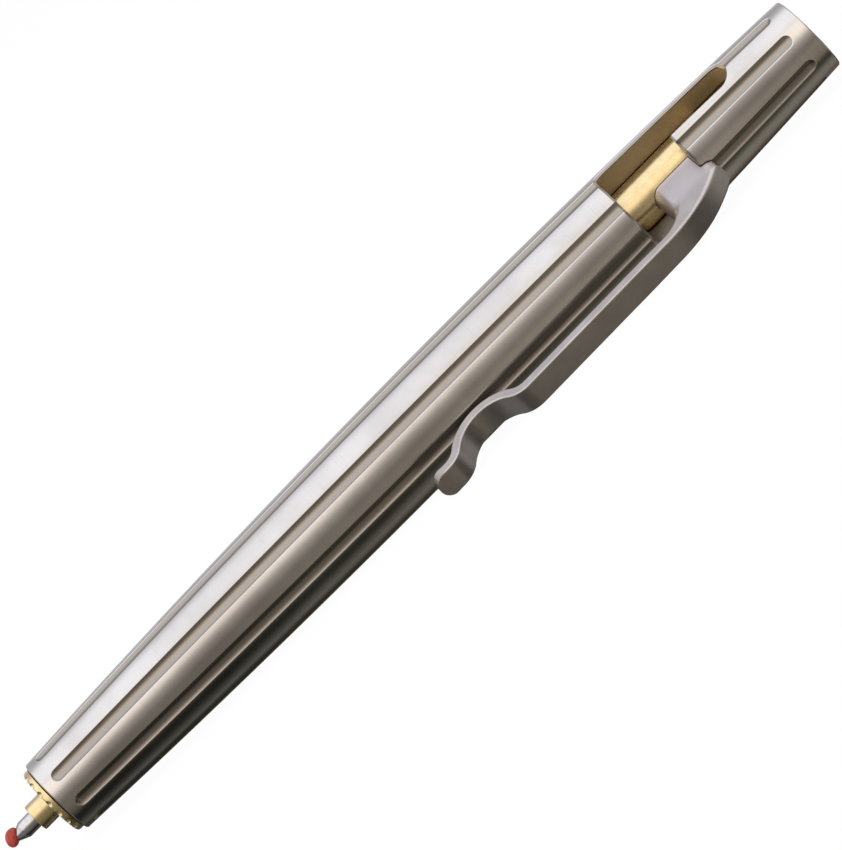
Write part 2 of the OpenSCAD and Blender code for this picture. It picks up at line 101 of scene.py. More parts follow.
def arithmetic(operation, swapped=False):
    """An operator of a Wire: the Math node that works it out."""

    def method(self, other):
        return self.maths(operation, *((other, self) if swapped else (self, other)))

    return method


class Wire:
    """One output of a material's nodes. Arithmetic on it adds Math nodes."""

    __add__ = __radd__ = arithmetic("ADD")
    __mul__ = __rmul__ = arithmetic("MULTIPLY")
    __sub__, __rsub__ = arithmetic("SUBTRACT"), arithmetic("SUBTRACT", swapped=True)
    __truediv__, __pow__ = arithmetic("DIVIDE"), arithmetic("POWER")
    at_least = arithmetic("MAXIMUM")

    def __init__(self, paint, socket):
        self.paint, self.socket = paint, socket

    def maths(self, operation, *values):
        return self.paint.node("ShaderNodeMath", dict(enumerate(values)), {"operation": operation})

    def step(self, low, high):
        """Runs smoothly from 0 at low to 1 at high."""
        settings = {"interpolation_type": "SMOOTHSTEP"}
        return self.paint.node("ShaderNodeMapRange", {0: self, 1: low, 2: high}, settings)


class Paint:
    """The nodes of one material, or of the world."""

    def __init__(self, name=None):
        self.owner = bpy.data.materials.new(name) if name else scene.world
        self.owner.use_nodes = True
        self.tree = self.owner.node_tree
        self.tree.nodes.clear()

    def node(self, kind, inputs=None, settings=None, output=0):
        """Makes a node, sets it up, gives its sockets values or links, and returns one of its outputs."""
        made = self.tree.nodes.new(kind)
        for name, value in (settings or {}).items():
            if name == "stops":
                ramp = made.color_ramp.elements
                while len(ramp) < len(value):
                    ramp.new(1)
                for element, (place, colour) in zip(ramp, value):
                    element.position, element.color = place, (*colour, 1)
            else:
                setattr(made, name, value)
        for name, value in (inputs or {}).items():
            if isinstance(value, Wire):
                self.tree.links.new(value.socket, made.inputs[name])
            else:
                made.inputs[name].default_value = value
        return Wire(self, made.outputs[output]) if made.outputs else made

    def place(self):
        """The object's own coordinates, in metres."""
        return self.node("ShaderNodeTexCoord", output="Object")

    def split(self, vector):
        """The three parts of a vector."""
        wires = self.node("ShaderNodeSeparateXYZ", {0: vector})
        return [Wire(self, socket) for socket in wires.socket.node.outputs]

    def stretched(self, scale):
        """Coordinates along the axes, stretched."""
        return self.node("ShaderNodeMapping", {"Vector": self.place(), "Scale": scale})

    def noise(self, scale, detail=2.0, roughness=0.5, vector=None):
        inputs = {"Scale": scale, "Detail": detail, "Roughness": roughness}
        inputs["Vector"] = vector or self.place()
        return self.node("ShaderNodeTexNoise", inputs)

    def mixed(self, share, first, second):
        """A colour that runs from the first to the second as share runs from 0 to 1."""
        first, second = (part if isinstance(part, Wire) else (*part, 1) for part in (first, second))
        # Inputs 6 and 7 and output 2 of a Mix node are the ones for colours
        return self.node("ShaderNodeMix", {0: share, 6: first, 7: second}, {"data_type": "RGBA"}, output=2)

    def surface(self, **inputs):
        """A Principled surface. Underscores in the sockets' names stand for spaces."""
        named = {name.replace("_", " "): value for name, value in inputs.items()}
        self.finish(self.node("ShaderNodeBsdfPrincipled", named))
        return self.owner

    def bump(self, height, distance, strength=1.0):
        return self.node("ShaderNodeBump", {"Height": height, "Distance": distance, "Strength": strength})

    def finish(self, shader):
        owner = "Material" if isinstance(self.owner, bpy.types.Material) else "World"
        self.node("ShaderNodeOutput" + owner, {"Surface": shader})


def seen_white(paint):
    """1 for a ray of the camera, of a reflection or through glass."""
    path = paint.node("ShaderNodeLightPath").socket.node.outputs
    rays = [Wire(paint, path[name]) for name in ("Is Camera Ray", "Is Glossy Ray", "Is Transmission Ray")]
    return rays[0].at_least(rays[1]).at_least(rays[2])


if scene.world is None:
    scene.world = bpy.data.worlds.new("room")
room = Paint()
room_light = 0.55
shown_light = seen_white(room) * (1 - room_light) + room_light
room.finish(room.node("ShaderNodeBackground", {"Color": (1, 1, 1, 1), "Strength": shown_light}))

# The white floor: mostly its own light to the camera, so that it stays white, with a trace of shadow.
floor_reach, shadow_share = 3.0, 0.03
floor_mesh = bpy.data.meshes.new("floor")
corners = [Vector(corner) * floor_reach for corner in ((-1, -1, 0), (1, -1, 0), (1, 1, 0), (-1, 1, 0))]
floor_mesh.from_pydata(corners, [], [(0, 1, 2, 3)])
floor = bpy.data.objects.new("floor", floor_mesh)
floor.visible_glossy = False
white = Paint("white_floor")
glow = white.node("ShaderNodeEmission", {"Color": (1, 1, 1, 1), "Strength": 1.0})
matt = white.node("ShaderNodeBsdfDiffuse", {"Color": (0.8, 0.8, 0.8, 1)})
faint = white.node("ShaderNodeMixShader", {0: shadow_share, 1: glow, 2: matt})
white.finish(white.node("ShaderNodeMixShader", {0: seen_white(white), 1: matt, 2: faint}))
floor_mesh.materials.append(white.owner)
scene.collection.objects.link(floor)

# The light tent: a wide cylinder round the pen that only reflections see. Its brightness depends on the
# angle round the axis, which is twice the angle of the metal that reflects it to the camera. Its lower part
# is dark at the nose's end and lighter at the rear end, and it is shaded beyond the pen's rear end.
tent_radius, tent_half_length, tent_strength = 0.35, 0.4, 1.7
upper_light = [
    # angle of the metal, from -90 on top to 90 below, and the light it reflects
    (-90, 0.58, 0.6, 0.65), (-78, 0.68, 0.68, 0.72),
    (-68, 0.5, 0.49, 0.5), (-60, 0.66, 0.65, 0.68),
    (-55, 0.74, 0.75, 0.8), (-49, 1.2, 1.23, 1.34),
    (-45, 1.42, 1.45, 1.56), (-29, 1.46, 1.48, 1.56),
    (-25, 1.28, 1.26, 1.28), (-22, 1.5, 1.45, 1.4),
    (-15, 1.62, 1.48, 1.36), (-9, 1.55, 1.4, 1.26),
    (-6, 1.28, 1.18, 1.08), (-4, 0.9, 0.84, 0.78),
    (-2, 0.6, 0.55, 0.51), (1, 0.44, 0.41, 0.38),
]
nose_light = upper_light + [
    (5, 0.32, 0.29, 0.26), (9, 0.21, 0.19, 0.17),
    (17, 0.22, 0.2, 0.17), (26, 0.17, 0.16, 0.135),
    (33, 0.11, 0.1, 0.08), (38, 0.012, 0.012, 0.009),
    (46, 0.02, 0.02, 0.018), (52, 0.06, 0.06, 0.055),
    (59, 0.14, 0.14, 0.125), (65, 0.05, 0.05, 0.045),
    (78, 0.07, 0.066, 0.06), (90, 0.2, 0.19, 0.18),
]
rear_light = upper_light + [
    (5, 0.36, 0.33, 0.31), (9, 0.3, 0.265, 0.225),
    (16, 0.47, 0.42, 0.35), (26, 0.41, 0.36, 0.3),
    (34, 0.32, 0.28, 0.21), (38, 0.09, 0.08, 0.055),
    (42, 0.05, 0.05, 0.035), (46, 0.14, 0.135, 0.11),
    (51, 0.31, 0.29, 0.245), (60, 0.3, 0.285, 0.25),
    (66, 0.17, 0.15, 0.125), (78, 0.15, 0.13, 0.12),
    (90, 0.2, 0.19, 0.18),
]
# The light of the tent's two ends, below and above the pen
nose_end_light = (0.22, 0.21, 0.2), (1.2, 1.15, 1.1)
rear_end_light = (0.42, 0.39, 0.365), (1.15, 1.1, 1.06)
end_step = 0.12
# Where the nose's light turns into the rear one's, and where the lower part is shaded
turn_reach = 0.085
shade_from, shade_to, shade_depth = 0.1, 0.16, 0.7
shade_low, shade_high = -0.15, -0.02


def as_rows(*lists):
    """Lists put side by side, such as the coordinates of some points: a row has one value of each list."""
    return np.stack(lists, axis=-1)


def ring_faces(rows, columns, wrap):
    """The quads of a grid of points, with its last column joined to its first where it wraps."""
    starts = np.arange(rows - 1)[:, None] * columns
    column = np.arange(columns if wrap else columns - 1)
    here, after = starts + column, starts + (column + 1) % columns
    return as_rows(here, after, after + columns, here + columns).reshape(-1, 4)


tent_turn = np.linspace(0, 2 * np.pi, 97)[:-1]
tent_ring = as_rows(0 * tent_turn, np.cos(tent_turn), np.sin(tent_turn)) * tent_radius
tent_half = tent_half_length * along
tent_points = np.concatenate([tent_ring - tent_half, tent_ring + tent_half])
tent_mesh = bpy.data.meshes.new("light_tent")
tent_mesh.from_pydata(tent_points.tolist(), [], ring_faces(2, len(tent_turn), True).tolist())
tent_parts = [bpy.data.objects.new("light_tent", tent_mesh)]
cloth = Paint("tent_cloth")


def tent_place(paint):
    """Where a point of the tent lies: along the pen, up as the camera sees it, and towards the camera."""
    x, y, z = paint.split(paint.place())
    up, towards = (y * float(to[1]) + z * float(to[2]) for to in (level_up, seen_from))
    return x, up, towards


tent_x, turned_up, towards_camera = tent_place(cloth)
round_axis = turned_up.maths("ARCTAN2", turned_up, towards_camera)
share = 0.5 + round_axis / (2 * np.pi)


def ring_light(lights):
    """The tent's light at an angle round the axis."""
    stops = []
    for angle, *colour in reversed(lights):
        stops.append((0.5 - angle / 180, [part / tent_strength for part in colour]))
    return cloth.node("ShaderNodeValToRGB", {0: share}, {"stops": stops})


to_rear = tent_x.step(-turn_reach, turn_reach)
light = cloth.mixed(to_rear, ring_light(nose_light), ring_light(rear_light))
lower_part = 1.0 - turned_up.step(shade_low, shade_high)
shaded = tent_x.step(shade_from, shade_to) * lower_part * shade_depth
light = cloth.mixed(shaded, light, (0, 0, 0))
cloth.finish(cloth.node("ShaderNodeEmission", {"Color": light, "Strength": tent_strength}))
tent_mesh.materials.append(cloth.owner)
for side, (below, above) in ((-1, nose_end_light), (1, rear_end_light)):
    end_mesh = bpy.data.meshes.new("tent_end")
    end_ring = tent_ring + side * tent_half
    end_mesh.from_pydata(end_ring.tolist(), [], [list(range(len(tent_turn)))])
    end_cloth = Paint("tent_end_cloth")
    end_light = end_cloth.mixed(tent_place(end_cloth)[1].step(0.0, end_step), below, above)
    end_cloth.finish(end_cloth.node("ShaderNodeEmission", {"Color": end_light}))
    end_mesh.materials.append(end_cloth.owner)
    tent_parts.append(bpy.data.objects.new("tent_end", end_mesh))
for part in tent_parts:
    part.location = in_room([0, 0, anchor_along])
    part.visible_camera = part.visible_diffuse = False
    part.visible_shadow = part.visible_transmission = False
    scene.collection.objects.link(part)


def lamp(name, place, size, power, colour):
    """A soft square lamp that faces the pen and isn't mirrored in its metal."""
    data = bpy.data.lights.new(name, "AREA")
    data.size, data.energy, data.color = size, power, colour
    made = bpy.data.objects.new(name, data)
    made.location = place
    made.rotation_mode = "QUATERNION"
    made.rotation_quaternion = (Vector(place) - Vector(aim)).to_track_quat("Z", "Y")
    made.visible_glossy = False
    scene.collection.objects.link(made)


lamp("key_lamp", place=(-0.35, -0.45, 0.75), size=0.5, power=9, colour=(1, 0.99, 1))
lamp("fill_lamp", place=(0.5, 0.5, 0.6), size=0.5, power=4, colour=(1, 0.98, 0.95))


def round_axis_at(radius, angle, z):
    """Points at a radius, an angle from the clip, and a place along the axis."""
    radius, angle, z = np.broadcast_arrays(radius, angle, z)
    return as_rows(radius * np.cos(angle), radius * np.sin(angle), z)


def turned(profile, angles):
    """A profile of radius and place pairs carried round the axis: one row for each pair."""
    radius, z = np.array(profile, float).T
    return round_axis_at(radius[:, None], angles, z[:, None])


class Shell:
    """The closed surface of one piece, put together from grids in pen coordinates."""

    def __init__(self):
        self.points, self.faces, self.count = [], [], 0

    def add(self, points, faces):
        """Adds points and faces that count from 0."""
        points = np.asarray(points, float).reshape(-1, 3)
        self.faces += (np.asarray(faces) + self.count).tolist()
        self.points.append(points)
        self.count += len(points)

    def grid(self, points, wrap=False):
        """Adds a grid of points, rows by columns."""
        self.add(points, ring_faces(*points.shape[:2], wrap))

    def lathe(self, profile, angles):
        """Adds a profile carried round the axis."""
        self.grid(turned(profile, angles), wrap=True)

    def cap(self, loop):
        """Adds one flat face inside a loop."""
        self.add(loop, [list(range(len(loop)))])

    def piece(self, name, material, body=None, crease=32, weld=0.0002):
        """Welds the seams and poles, points every face outwards, and makes the object. Faces with more than
        four corners are flat caps, so they aren't shaded smooth."""
        mesh = bpy.data.meshes.new(name)
        mesh.from_pydata(in_room(np.concatenate(self.points)).tolist(), [], self.faces)
        work = bmesh.new()
        work.from_mesh(mesh)
        bmesh.ops.remove_doubles(work, verts=work.verts, dist=weld * MILLI)
        bmesh.ops.dissolve_degenerate(work, edges=work.edges, dist=weld * MILLI)
        bmesh.ops.recalc_face_normals(work, faces=work.faces)
        work.to_mesh(mesh)
        work.free()
        mesh.shade_smooth()
        mesh.set_sharp_from_angle(angle=np.radians(crease))
        sides = np.empty(len(mesh.polygons), np.int32)
        mesh.polygons.foreach_get("loop_total", sides)
        mesh.polygons.foreach_set("use_smooth", sides <= 4)
        mesh.materials.append(material)
        made = bpy.data.objects.new(name, mesh)
        scene.collection.objects.link(made)
        if body:
            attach(made, body)
        return made


# Barrel: one bar of titanium, turned to a slight barrel shape, with eight flutes cut by a ball-ended
# cutter, a bored inside and the bolt window milled through the wall. The turned surface is left satin, with
# fine marks round it, and every milled edge is broken.
barrel_length = 134.0
half_length = barrel_length / 2
middle_radius, end_radius = 7.0, 5.5
end_chamfer = 0.15
bore_radius = 3.45
bore_end = 127.9
mouth_radius, mouth_depth = 3.79, 6.4
ring_seat_radius, ring_seat_depth = 4.39, 0.55
crown = middle_radius - end_radius
# Radius of the arc from end to end: half the length squared plus the crown squared, over twice the crown
arc_radius = (half_length**2 + crown**2) / (2 * crown)
flute_step = np.radians(45)
first_flute, straight_place = np.radians(-7), 56.0
flute_twist = np.radians(0.0515)
cutter_radius, flute_depth = 1.3, 0.4
nose_margin, rear_margin = 1.55, 2.4
cutter_lift = cutter_radius - flute_depth
# How far the cutter's ball cuts past a flute's run: the root of its radius squared less its lift squared
run_out = np.sqrt(cutter_radius**2 - cutter_lift**2)
flute_start, flute_stop = nose_margin + run_out, barrel_length - rear_margin - run_out
flute_edge_round = 0.075
front_ledge, rear_ledge, slot_end = 101.85, 112.25, 123.15
slot_half, corner_round, step_round, edge_round = 2.1, 1.1, 0.35, 0.32
slot_turn = np.radians(-90)


def outline(z):
    """Radius of the barrel without its flutes: one arc from end to end."""
    return middle_radius - arc_radius + np.sqrt(arc_radius**2 - (z - half_length) ** 2)


def cutter_section(z):
    """Radius of the cutter's round section, which shrinks as a ball past the flute's run."""
    past = np.maximum(np.maximum(flute_start - z, z - flute_stop), 0)
    return np.sqrt(np.maximum(cutter_radius**2 - past**2, 0))


def flute_middle(z):
    """Angle of the first flute's middle: the flutes wind very slightly round the barrel towards its rear."""
    return first_flute + flute_twist * (z - straight_place)


def flute_half_angle(z):
    """Angle from the middle of a flute to its edge, where the cutter's circle meets the barrel's."""
    centre = outline(z) + cutter_lift
    cosine = (outline(z) ** 2 + centre**2 - cutter_section(z) ** 2) / (2 * outline(z) * centre)
    return np.arccos(np.clip(cosine, -1, 1))


def skin_radius(angle, z):
    """Radius of the fluted surface: the lesser of the arc and the cutter's circle, with a soft corner."""
    land = outline(z)
    off = (angle - flute_middle(z) + flute_step / 2) % flute_step - flute_step / 2
    centre = land + cutter_lift
    inside = cutter_section(z) ** 2 - (centre * np.sin(off)) ** 2
    groove = np.where(inside > 0, centre * np.cos(off) - np.sqrt(np.maximum(inside, 0)), land + 1)
    share = np.clip(0.5 + (groove - land) / (2 * flute_edge_round), 0, 1)
    return groove + (land - groove) * share - flute_edge_round * share * (1 - share)


def flute_columns(z):
    """Angles of the columns of points at a place: close together at the flutes' edges."""
    within = np.array([0, 0.2, 0.4, 0.6, 0.76, 0.87, 0.92, 0.955, 0.98])
    beyond = np.array([0.004, 0.02, 0.038, 0.065, 0.18, 0.38, 0.6, 0.8])
    edge = np.maximum(flute_half_angle(z), np.radians(2))[..., None]
    half = np.concatenate([within * edge, edge + beyond * (flute_step / 2 - edge)], axis=-1)
    middle = np.full_like(edge, flute_step / 2)
    one = np.concatenate([-half[..., :0:-1], half, middle], axis=-1)
    middle_angle = flute_middle(z)[:, None]
    return np.concatenate([middle_angle + flute_step * step + one for step in range(-4, 4)], axis=-1)


def inside_loop(points, loop):
    """Which points lie inside a closed loop: an odd number of its sides lies to the right of the point."""
    x, y = points[:, 0, None], points[:, 1, None]
    x0, y0 = loop.T
    x1, y1 = np.roll(loop, -1, axis=0).T
    crosses = (y0 > y) != (y1 > y)
    with np.errstate(divide="ignore", invalid="ignore"):
        meets = x0 + (y - y0) * (x1 - x0) / (y1 - y0)
    return (crosses & (x < meets)).sum(axis=1) % 2 == 1


def add_pierced(shell, columns, rows, loop, scale, space, radius_at=None):
    """Adds a block of a surface around a loop, in triangles, worked out flat with its angles times scale.
    Columns are angles and rows are places along the axis, like the loop's two lists. Grid points nearer to
    the loop than space are left out. The surface's radius is scale, or what radius_at gives."""
    flat = np.stack(np.broadcast_arrays(columns * scale, rows), axis=-1)
    loop = as_rows(loop[0] * scale, loop[1])
    rim = np.concatenate([flat[0, :-1], flat[:-1, -1], flat[-1, :0:-1], flat[:0:-1, 0]])
    inner = flat[1:-1, 1:-1].reshape(-1, 2)
    near = np.linalg.norm(inner[:, None] - loop[None], axis=-1).min(axis=1) < space
    inner = inner[~near & ~inside_loop(inner, loop)]
    points = np.concatenate([rim, loop, inner])
    bounds = [(i, (i + 1) % len(rim)) for i in range(len(rim))]
    bounds += [(len(rim) + i, len(rim) + (i + 1) % len(loop)) for i in range(len(loop))]
    made = delaunay_2d_cdt([Vector(p) for p in points.tolist()], bounds, [], 0, 1e-7)
    places, triangles = np.array([tuple(p) for p in made[0]]), np.array(made[2])
    centres = places[triangles].mean(axis=1)
    kept = inside_loop(centres, rim) & ~inside_loop(centres, loop)
    angle, z = places[:, 0] / scale, places[:, 1]
    shell.add(round_axis_at(radius_at(angle, z) if radius_at else scale, angle, z), triangles[kept])


def arc(centre, radius, start, stop, count):
    """Points along an arc, from one angle to another in degrees, without the last."""
    a = np.radians(np.linspace(start, stop, count + 1)[:-1])
    return as_rows(centre[0] + radius * np.cos(a), centre[1] + radius * np.sin(a))


def line(start, stop, count):
    """Points along a straight line, without the last."""
    return np.linspace(start, stop, count + 1)[:-1]


def window_loop():
    """The window's edge as three lists: its angle at the wall's outer edge, its angle at the bore, and its
    place along the axis. The slots are cut straight, so a point of their sides keeps its distance from the
    slot's middle: the sine of its angle is that distance over the radius."""

    def notch_side(points):
        across, z = points.T
        return np.arcsin(across / (outline(z) - edge_round)), np.arcsin(across / bore_radius), z

    def slot_side(points):
        at_wall, at_bore, z = notch_side(points)
        return at_wall + slot_turn, at_bore + slot_turn, z

    inner, slot_rear = slot_half - corner_round, slot_end - slot_half
    front_round, rear_round = front_ledge + corner_round, rear_ledge - corner_round
    notch_rear = np.concatenate([
        line((slot_half, front_round), (slot_half, rear_round), 18),
        arc((inner, rear_round), corner_round, 0, 90, 12),
    ])
    slot = np.concatenate([
        arc((slot_half + step_round, rear_ledge + step_round), step_round, 270, 180, 6),
        line((slot_half, rear_ledge + step_round), (slot_half, slot_rear), 18),
        arc((0, slot_rear), slot_half, 0, 180, 40),
        line((-slot_half, slot_rear), (-slot_half, front_round), 36),
        arc((-inner, front_round), corner_round, 180, 270, 12),
    ])
    notch_front = arc((inner, front_round), corner_round, -90, 0, 12)
    ends = np.array([
        (inner, rear_ledge), (slot_half + step_round, rear_ledge),
        (-inner, front_ledge), (inner, front_ledge),
    ])
    at_notch, at_slot = np.array(notch_side(ends)), np.array(slot_side(ends))
    rear = [line(at_notch[i, 0], at_slot[i, 1], 150) for i in range(3)]
    front = [line(at_slot[i, 2], at_notch[i, 3], 220) for i in range(3)]
    parts = [notch_side(notch_rear), rear, slot_side(slot), front, notch_side(notch_front)]
    return [np.concatenate([part[i] for part in parts]) for i in range(3)]


# Rows of points: close together at the flutes' ends, and in a rectangle round the window
near_tip = np.array([
    -0.65, -0.3, -0.14, -0.06, -0.02, 0.01, 0.04, 0.09, 0.16, 0.26, 0.4, 0.56, 0.74, 0.95, 1.3, 2.2,
])
window_from, window_to = 99.6, 125.4
nose_rows = np.concatenate([[end_chamfer], nose_margin + near_tip])
rear_rows = barrel_length - np.concatenate([[end_chamfer], rear_margin + near_tip])[::-1]
middle_rows = np.linspace(5.5, 98.4, 60)
window_rows = np.linspace(window_from, window_to, 53)
skin_rows = np.concatenate([nose_rows, middle_rows, window_rows, rear_rows])
skin_columns = flute_columns(skin_rows)
end_columns, rear_columns = skin_columns[0], skin_columns[-1]
window_span, bore_span = np.radians([-127, 35]), np.radians([-145, 55])
column_from, column_to = np.searchsorted(end_columns, window_span)
row_from = len(nose_rows) + len(middle_rows)
row_to = row_from + len(window_rows) - 1

barrel = Shell()


def wrapped_grid(shell, points, hole):
    """Adds a grid that closes on itself, without the rectangle of rows and columns in hole."""
    quads = ring_faces(*points.shape[:2], True).reshape(points.shape[0] - 1, points.shape[1], 4)
    keep = np.ones(quads.shape[:2], bool)
    keep[hole[0]:hole[1], hole[2]:hole[3]] = False
    shell.add(points, quads[keep])


skin_places = skin_rows[:, None]
skin = round_axis_at(skin_radius(skin_columns, skin_places), skin_columns, skin_places)
wrapped_grid(barrel, skin, (row_from, row_to, column_from, column_to))

# The window's edge, its bevel and its wall. The bevel is worked out flat, each angle times a radius.
outer_angle, bore_angle, loop_z = window_loop()
flat_scale = 6.4
flat_loop = as_rows(outer_angle * flat_scale, loop_z)
step_ahead = np.roll(flat_loop, -1, axis=0) - np.roll(flat_loop, 1, axis=0)
away = as_rows(step_ahead[:, 1], -step_ahead[:, 0])
away /= np.linalg.norm(step_ahead, axis=1)[:, None]
edge_loops = []
for beside, sunk in ((1, 0), (0.5, 0.5), (0, 1)):
    moved = flat_loop + away * edge_round * beside
    edge_loops.append((moved[:, 0] / flat_scale, moved[:, 1], edge_round * sunk))
edge_points = [round_axis_at(skin_radius(a, z) - sunk, a, z) for a, z, sunk in edge_loops]
bore_edge = round_axis_at(bore_radius, bore_angle, loop_z)
wall = [edge_points[-1] + (bore_edge - edge_points[-1]) * share for share in (0.02, 0.34, 0.67, 1)]
barrel.grid(np.stack(edge_points + wall), wrap=True)

block = (slice(row_from, row_to + 1), slice(column_from, column_to + 1))
add_pierced(
    barrel, skin_columns[block], skin_places[block[0]], edge_loops[0], flat_scale, space=0.16,
    radius_at=skin_radius,
)

bore_before, bore_beside = [mouth_depth, 30, 60, 90], np.linspace(window_from, window_to, 14)
bore_rows = np.concatenate([bore_before, bore_beside, [bore_end]])
bore_grid = round_axis_at(bore_radius, end_columns[None], bore_rows[:, None])
bore_left, bore_right = np.searchsorted(end_columns, bore_span)
bore_from, bore_to = len(bore_before), len(bore_before) + len(bore_beside) - 1
wrapped_grid(barrel, bore_grid, (bore_from, bore_to, bore_left, bore_right))
bore_columns = end_columns[bore_left:bore_right + 1]
add_pierced(barrel, bore_columns, bore_beside[:, None], (bore_angle, loop_z), bore_radius, space=0.2)

edge = float(outline(end_chamfer))
barrel.lathe([
    (bore_radius, mouth_depth), (mouth_radius, mouth_depth), (mouth_radius, ring_seat_depth),
    (ring_seat_radius, ring_seat_depth), (ring_seat_radius, 0),
    (edge - end_chamfer, 0), (edge, end_chamfer),
], end_columns)
barrel.lathe([
    (edge, barrel_length - end_chamfer), (edge - end_chamfer, barrel_length),
    (3, barrel_length), (0, barrel_length),
], rear_columns)
barrel.lathe([(bore_radius, bore_end), (1.5, bore_end), (0, bore_end)], end_columns)


def pen_place(paint):
    """Where a point of a surface lies, in millimetres: along the axis from the barrel's middle, towards the
    clip, towards the back of the pen, and off the axis."""
    room_place = paint.split(paint.place())
    x, y, z = ((part - float(start)) * (1 / MILLI) for part, start in zip(room_place, axis_start))
    clipward, backward = (y * float(to[1]) + z * float(to[2]) for to in (to_clip, to_back))
    return x - half_length, clipward, backward, (y * y + z * z) ** 0.5


satin = Paint("satin_titanium")
fine_marks = satin.noise(1.0, 3.0, 0.6, satin.stretched((5200, 160, 160)))
broad_marks = satin.noise(1.0, 2.0, 0.5, satin.stretched((1100, 60, 60)))
patches = satin.noise(120, 3.0, 0.55)
grain = satin.noise(9000, 2.0, 0.5)
# Depth under the turned outline, in millimetres: the outline's radius less the distance from the axis. It
# tells the milled flutes from the turned skin, and the window's walls from the flutes.
from_middle, clipward, _, from_axis = pen_place(satin)
depth = middle_radius - from_middle * from_middle / (2 * arc_radius) - from_axis
at_ends = (from_middle * from_middle).step((half_length - 0.3) ** 2, (half_length - 0.1) ** 2)
milled_and_shaded, wall_and_painted_reflection = depth.step(0.035, 0.085), depth.step(0.43, 0.5) * (1.0 - at_ends)
tone_and_painted_light = satin.mixed(patches.step(0.3, 0.7), (0.53, 0.5, 0.475), (0.6, 0.575, 0.55))
tone_and_painted_light = satin.mixed(fine_marks.step(0.55, 0.8) * 0.35, tone_and_painted_light, (0.42, 0.39, 0.36))
# The milled flutes and bevels are darker: partly the milled face's own tone, partly painted shade in these
# hollows
tone_and_painted_light = satin.mixed(milled_and_shaded, tone_and_painted_light, (0.33, 0.3, 0.265))
# The window's walls are painted with a reflection of the brass plunger, brighter towards the slot's rear,
# and painted grey on the clip's side
near_clip = clipward.step(2.5, 4.5)
painted_brass_reflection = satin.mixed(from_middle.step(44, 55), (0.29, 0.21, 0.115), (0.44, 0.31, 0.145))
tone_and_painted_light = satin.mixed(wall_and_painted_reflection, tone_and_painted_light, satin.mixed(near_clip, painted_brass_reflection, (0.26, 0.235, 0.2)))
relief = fine_marks * 0.6 + broad_marks * 0.5 + grain * 0.4
satin_titanium = satin.surface(
    Base_Color=tone_and_painted_light, Metallic=1.0 - wall_and_painted_reflection * 0.5,
    Roughness=0.2 + (fine_marks - 0.5) * 0.12 + (patches - 0.5) * 0.08 + milled_and_shaded * 0.13 + wall_and_painted_reflection * 0.17,
    Normal=satin.bump(relief, 0.000012, 0.5),
)
barrel_piece = barrel.piece("barrel_skin", satin_titanium, "barrel")
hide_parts("barrel")

# Clip and bolt handle: milled from one piece of titanium and blasted with fine beads. The strip bends down
# to a bump near its tip, its domed head sits over the barrel, and the tang under it goes through the window
# into the plunger. The tang's front is full round and joins the strip with a wide round root.
strip_inner, strip_thick, strip_half = 11.0, 1.4, 1.85
clip_rear, clip_tip = 113.95, 60.95
strip_rise, tail_lift = 0.25, 0.3
bump_place, bump_height, bump_radius, bend_radius = 70.85, 7.75, 6.6, 2.3
head_start, head_radius, head_under, head_corner = 102.45, 16.7, 6.4, 1.1
tang_front, tang_rear, tang_bottom, tang_corner = 105.2, 112.2, -1.2, 1.05
root_radius = 3.0
strip_start, root_start = 101.7, tang_front - root_radius
tang_edge, strip_edge, head_edge, rear_edge = 0.1, 0.22, 0.38, 0.55
head_edge_from, head_edge_full, rear_edge_from, rear_edge_full, edge_fade = 98, 105, 109, 112, 1.2


def chain(start, *legs):
    """Points along straight lines from corner to corner, without the last. A leg is its end and count."""
    points = []
    for end, count in legs:
        points.append(line(start, end, count))
        start = end
    return np.concatenate(points)


def clip_sides(tip, rear):
    """Side view of the clip as place and height pairs, in two parts: the underside from its tip to the root,
    and the top from its rear end to the tip. Bends are arcs tangent to the straight strips."""
    bend_inner = strip_inner + strip_rise
    tail_inner = bend_inner + tail_lift
    bump_centre = np.array([bump_place, bump_height + bump_radius])
    span = bump_radius + bend_radius
    # The two bends touch the bump's arc: their centres lie at the sum of the radii from its centre
    bends, slopes = [], []
    for side, inner in ((1, bend_inner), (-1, tail_inner)):
        height = inner - bend_radius
        reach = np.sqrt(span**2 - (bump_centre[1] - height) ** 2)
        bends.append(np.array([bump_place + side * reach, height]))
        slopes.append(np.degrees(np.arctan2(*(bump_centre - bends[-1])[::-1])))
    (strip_bend, tail_bend), (strip_slope, tail_slope) = bends, slopes
    outer_bend, outer_bump = bend_radius + strip_thick, bump_radius - strip_thick
    strip_outer, bend_outer = strip_inner + strip_thick, bend_inner + strip_thick
    tail_outer = tail_inner + strip_thick
    under = np.concatenate([
        line((tip, tail_inner), (tail_bend[0], tail_inner), 3),
        arc(tail_bend, bend_radius, 90, tail_slope, 12),
        arc(bump_centre, bump_radius, tail_slope + 180, strip_slope + 180, 34),
        arc(strip_bend, bend_radius, strip_slope, 90, 12),
        chain((strip_bend[0], bend_inner), ((strip_start, strip_inner), 36), ((root_start, strip_inner), 4)),
    ])
    dome_centre = np.array([head_start, strip_outer - head_radius])
    dome_end = np.degrees(np.arccos((rear - head_start) / head_radius))
    over = np.concatenate([
        arc(dome_centre, head_radius, dome_end, 90, 40),
        chain((head_start, strip_outer), ((strip_start, strip_outer), 3), ((strip_bend[0], bend_outer), 34)),
        arc(strip_bend, outer_bend, 90, strip_slope, 14),
        arc(bump_centre, outer_bump, strip_slope + 180, tail_slope + 180, 34),
        arc(tail_bend, outer_bend, tail_slope, 90, 14),
        chain((tail_bend[0], tail_outer), ((tip, tail_outer), 3), ((tip, tail_inner), 4)),
    ])
    return under, over


def set_back(y, radius):
    """How far a round corner of this radius moves an end back at a distance y from the clip's middle."""
    into = max(y - (strip_half - radius), 0)
    return radius - np.sqrt(max(radius**2 - into**2, 0))


